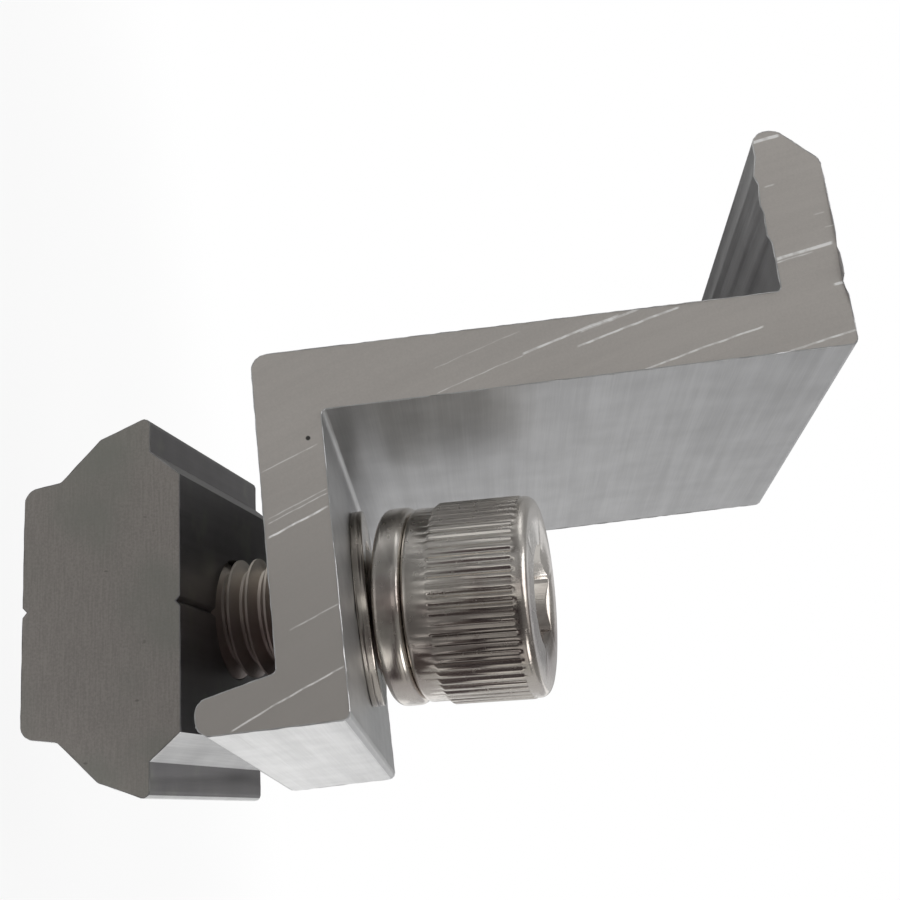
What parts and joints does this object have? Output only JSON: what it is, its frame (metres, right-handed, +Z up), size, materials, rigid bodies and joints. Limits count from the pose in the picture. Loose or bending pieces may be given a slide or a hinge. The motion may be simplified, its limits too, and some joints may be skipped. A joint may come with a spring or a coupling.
{
  "type": "solar module end clamp",
  "caption": "End clamp that holds the last solar module on its rail: Z-shaped extruded clamp with hook and toothed lip, knurled cap screw, washers and slot nut.",
  "frame": {"origin": "where the axis of the clamp's hole meets the plane of the rail's top, on which the hook stands", "axes": "+Z up along the hole, away from the rail; +X from the module towards the hook; +Y along the extrusion and the rail"},
  "size_m": [0.0339, 0.035, 0.0526],
  "materials": {
    "clamp_aluminium": "mill finish, extruded sides with fine draw lines and saw-cut ends",
    "nut_aluminium": "mill finish, darker and smudged, saw-cut ends",
    "stainless_steel": "bright cold-formed stainless steel"
  },
  "bodies": {
    "clamp": {"end_clamp": "clamp_aluminium"},
    "plain_ring": {"flat_washer": "stainless_steel"},
    "spring_ring": {"lock_washer": "stainless_steel"},
    "screw": {"cap_screw": "stainless_steel"},
    "nut": {"slot_nut": "nut_aluminium"}
  },
  "joints": [
    {"name": "screw_swivel", "type": "hinge", "parent": "clamp", "child": "plain_ring", "pos_m": [0, 0, 0.0085], "axis": [0, 0, 1], "range_deg": [0, 120]},
    {"name": "screw_lean", "type": "hinge", "parent": "plain_ring", "child": "spring_ring", "pos_m": [0, 0, 0.00655], "axis": [0.9157, 0.4019, 0], "range_deg": [-11.6, 0]},
    {"name": "screw_turn", "type": "hinge", "parent": "spring_ring", "child": "screw", "pos_m": [0, 0, 0.00655], "axis": [0.0808, -0.1841, 0.9796], "range_deg": [0, 2160]},
    {"name": "nut_travel", "type": "slide", "parent": "spring_ring", "child": "nut", "axis": [0.0808, -0.1841, 0.9796], "range_m": [-0.0075, 0]}
  ],
  "couplings": [
    {"joint": "nut_travel", "follows": "screw_turn", "m_per_rad": -0.00019894}
  ]
}
